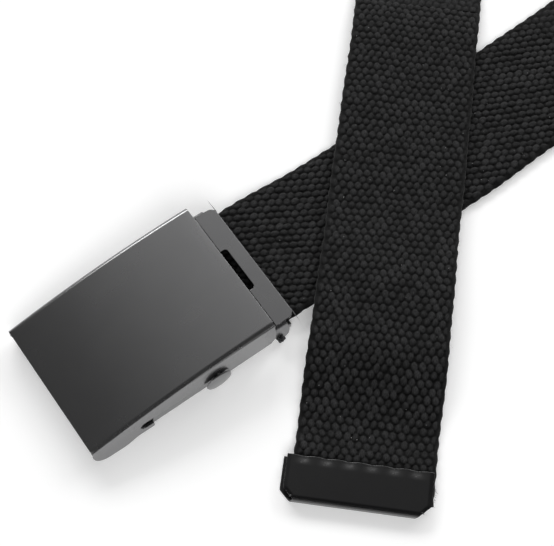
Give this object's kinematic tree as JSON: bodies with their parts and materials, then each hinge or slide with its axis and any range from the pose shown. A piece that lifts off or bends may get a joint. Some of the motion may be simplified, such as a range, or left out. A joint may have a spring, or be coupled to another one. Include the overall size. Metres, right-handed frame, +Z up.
{
  "type": "canvas web belt",
  "caption": "Flat woven web belt laid as a closed loop, with a box-frame slide-lock buckle, a toothed hinged clamp on one end and a folded metal tip on the free end.",
  "frame": {"origin": "on the underside of the buckle's back plate, below the middle of the cover, where the belt rests", "axes": "+X runs along the buckle towards the clamp and the webbing, +Y across the belt, +Z up from the surface that the belt lies on"},
  "size_m": [0.5, 0.3173, 0.0381],
  "materials": {
    "webbing": "matt dark canvas webbing",
    "cover_metal": "satin gunmetal",
    "frame_metal": "satin gunmetal",
    "tip_metal": "gloss black paint with small chips"
  },
  "bodies": {
    "belt": {"webbing_strap": "webbing", "buckle_cover": "cover_metal", "base_frame": "frame_metal", "pivot_rivet_near": "frame_metal", "pivot_rivet_far": "frame_metal", "belt_tip": "tip_metal"},
    "lock_bar": {"lock_bar": "frame_metal", "lock_roller": "frame_metal"},
    "clamp_jaw": {"clamp_jaw": "frame_metal"}
  },
  "joints": [
    {"name": "lock_slide", "type": "slide", "parent": "belt", "child": "lock_bar", "axis": [1, 0, 0], "range_m": [-0.0225, 0]},
    {"name": "clamp_hinge", "type": "hinge", "parent": "belt", "child": "clamp_jaw", "pos_m": [0.0306, 0, 0.0014], "axis": [0, -1, 0], "range_deg": [0, 43]}
  ]
}
